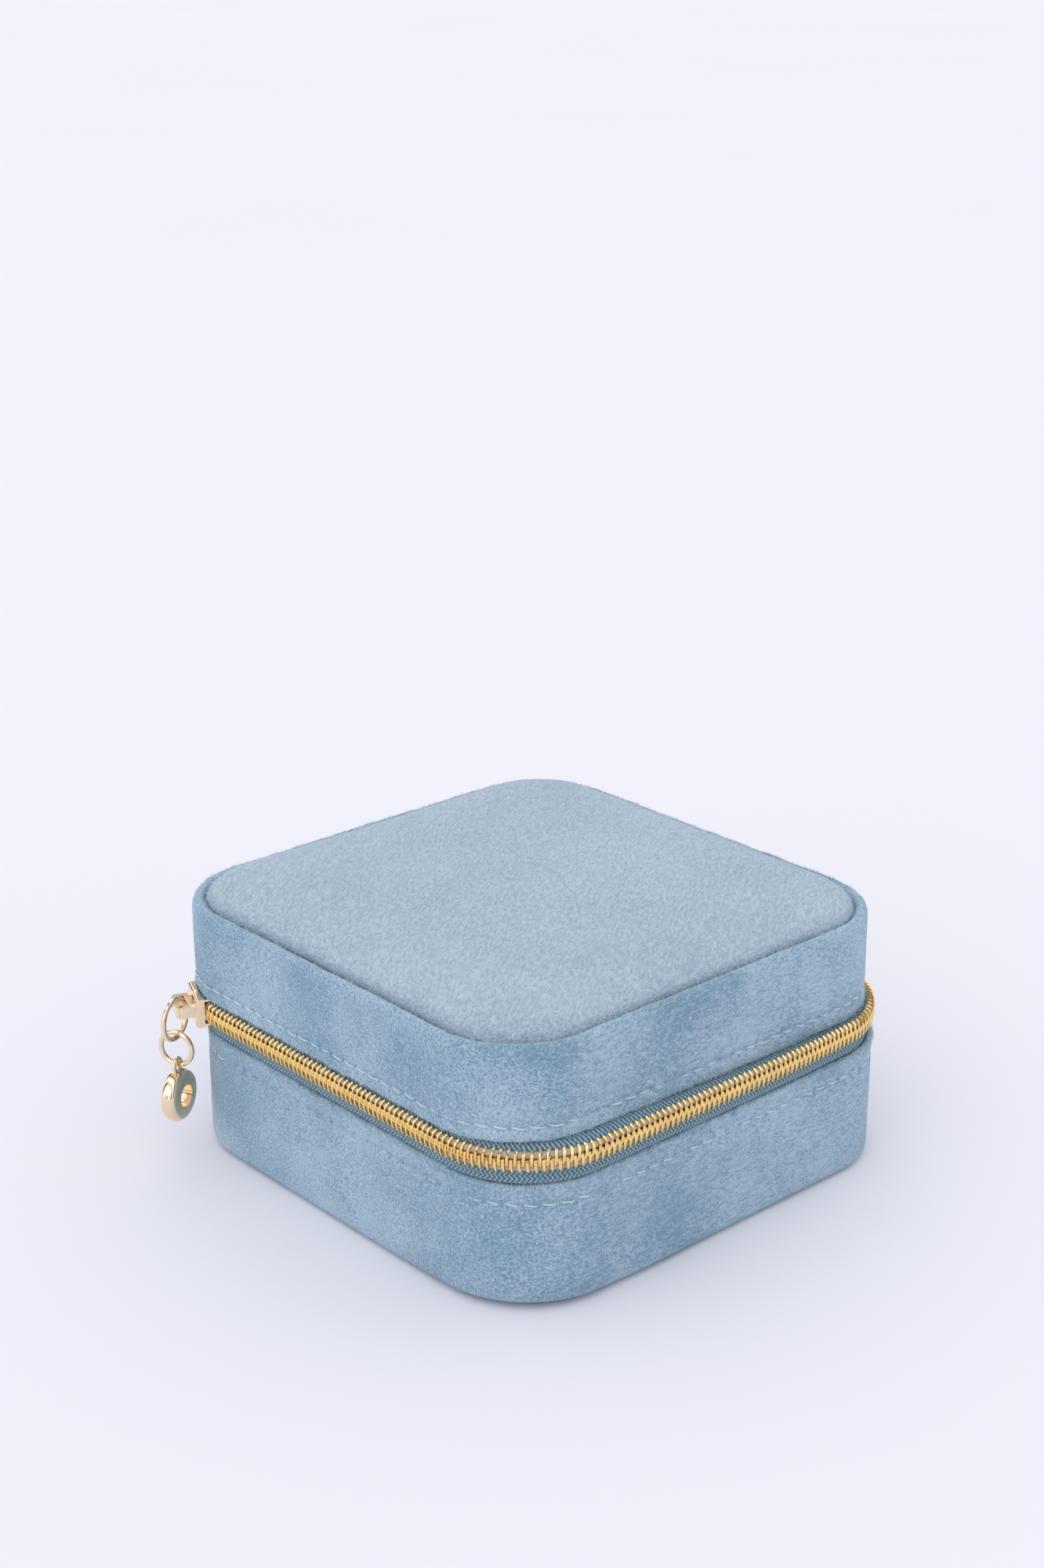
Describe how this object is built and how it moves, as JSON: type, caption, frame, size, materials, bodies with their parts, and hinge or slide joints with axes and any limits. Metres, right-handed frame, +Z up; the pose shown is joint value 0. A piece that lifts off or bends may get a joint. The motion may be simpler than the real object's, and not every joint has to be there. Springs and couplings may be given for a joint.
{
  "type": "travel jewelry case",
  "caption": "Small square zip-round jewelry case in pale blue velvet, with a padded lid, mirror, trays, ring rolls and a gold ring-shaped zipper charm.",
  "frame": {"origin": "centre of the flat underside, which the case stands on", "axes": "+Z up; +Y towards the fabric hinge at the back, so -Y is the front; -X is the side where the closed slider hangs"},
  "size_m": [0.1123, 0.1035, 0.0536],
  "materials": {
    "velvet": "short-pile velvet",
    "lining_velvet": "short-pile velvet",
    "greyboard": "raw greyboard",
    "foam": "soft foam",
    "zip_tape": "woven herringbone tape",
    "gold_coil": "gold metallised nylon",
    "gold_metal": "polished pale gold plating",
    "mirror_glass": "silvered glass"
  },
  "bodies": {
    "base": {"base_side_band": "velvet", "base_bottom_panel": "velvet", "hinge_spine": "velvet", "base_lining": "lining_velvet", "base_floor_lining": "lining_velvet", "partition_wall": "lining_velvet", "ring_roll_1": "lining_velvet", "ring_roll_2": "lining_velvet", "ring_roll_3": "lining_velvet", "ring_roll_4": "lining_velvet", "hinge_lining": "lining_velvet", "base_bottom_board": "greyboard", "base_side_frame": "greyboard", "base_wadding": "foam", "lower_zip_tape": "zip_tape", "lower_zip_coil": "gold_coil", "lower_top_stop": "gold_metal", "bottom_stop": "gold_metal"},
    "lid": {"lid_side_band": "velvet", "lid_top_panel": "velvet", "lid_foam_pad": "foam", "lid_top_board": "greyboard", "lid_side_frame": "greyboard", "lid_wadding": "foam", "lid_lining": "lining_velvet", "lid_ceiling_lining": "lining_velvet", "mirror": "mirror_glass", "mirror_frame": "lining_velvet", "upper_zip_tape": "zip_tape", "upper_zip_coil": "gold_coil", "upper_top_stop": "gold_metal"},
    "divider": {"tray_divider": "lining_velvet"},
    "slider": {"slider_body": "gold_metal"},
    "link": {"link_ring": "gold_metal"},
    "jump": {"jump_ring": "gold_metal"},
    "charm": {"ring_charm": "gold_metal"}
  },
  "joints": [
    {"name": "lid_hinge", "type": "hinge", "parent": "base", "child": "lid", "pos_m": [0, 0.05, 0.02855], "axis": [-1, 0, 0], "range_deg": [0, 110], "deforming": ["hinge_spine", "hinge_lining", "upper_zip_tape", "lower_zip_tape", "upper_zip_coil", "lower_zip_coil"]},
    {"name": "slider_travel", "type": "hinge", "parent": "base", "child": "slider", "pos_m": [-0.032, 0.032, 0.0297], "axis": [0, 0, 1], "range_deg": [0, 24.5], "deforming": ["upper_zip_tape", "lower_zip_tape", "upper_zip_coil", "lower_zip_coil"]},
    {"name": "divider_lift", "type": "slide", "parent": "base", "child": "divider", "axis": [0, 0, 1], "range_m": [0, 0.009]},
    {"name": "link_swing", "type": "hinge", "parent": "slider", "child": "link", "pos_m": [-0.05238, 0.04129, 0.0297], "axis": [0, 0, 1], "range_deg": [-125, 40]},
    {"name": "jump_swing", "type": "hinge", "parent": "link", "child": "jump", "pos_m": [-0.05569, 0.03995, 0.0246], "axis": [0.9272, 0.3746, 0], "range_deg": [-8, 60]},
    {"name": "charm_swing", "type": "hinge", "parent": "jump", "child": "charm", "pos_m": [-0.05569, 0.03995, 0.01915], "axis": [0.4305, -0.9026, 0], "range_deg": [-60, 30]}
  ]
}
